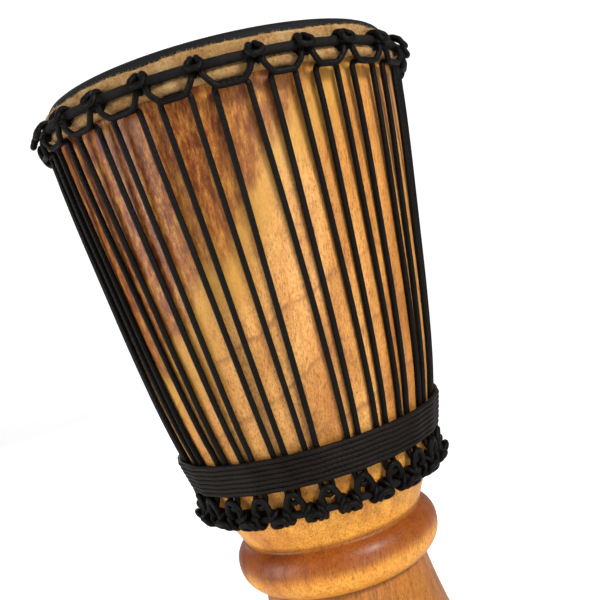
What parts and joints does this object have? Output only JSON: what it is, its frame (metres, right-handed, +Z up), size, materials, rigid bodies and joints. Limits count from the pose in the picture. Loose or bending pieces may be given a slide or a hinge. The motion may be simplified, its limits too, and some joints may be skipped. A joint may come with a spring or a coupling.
{
  "type": "djembe",
  "caption": "Rope-tuned goblet hand drum: carved wooden shell, goatskin head held by rings, knotted rope lacing, waist ring and flared foot.",
  "frame": {"origin": "centre of the foot's resting face", "axes": "+Z up along the drum's axis, towards the playing skin"},
  "size_m": [0.335, 0.335, 0.64],
  "materials": {
    "carved_wood": "oiled, satin",
    "goatskin": "smooth blackened hide",
    "ring_steel": "bare rod",
    "ring_cloth": "cotton strip wound tight",
    "rope": "braided low-stretch cord"
  },
  "bodies": {
    "root": {"shell": "carved_wood", "drum_head": "goatskin", "flesh_ring": "ring_steel", "crown_ring": "ring_steel", "crown_ring_cover": "ring_cloth", "base_ring": "ring_steel", "base_ring_cover": "ring_cloth", "top_loop_rope": "rope", "base_loop_rope": "rope", "lacing_rope": "rope", "binding_rope": "rope"}
  },
  "joints": []
}
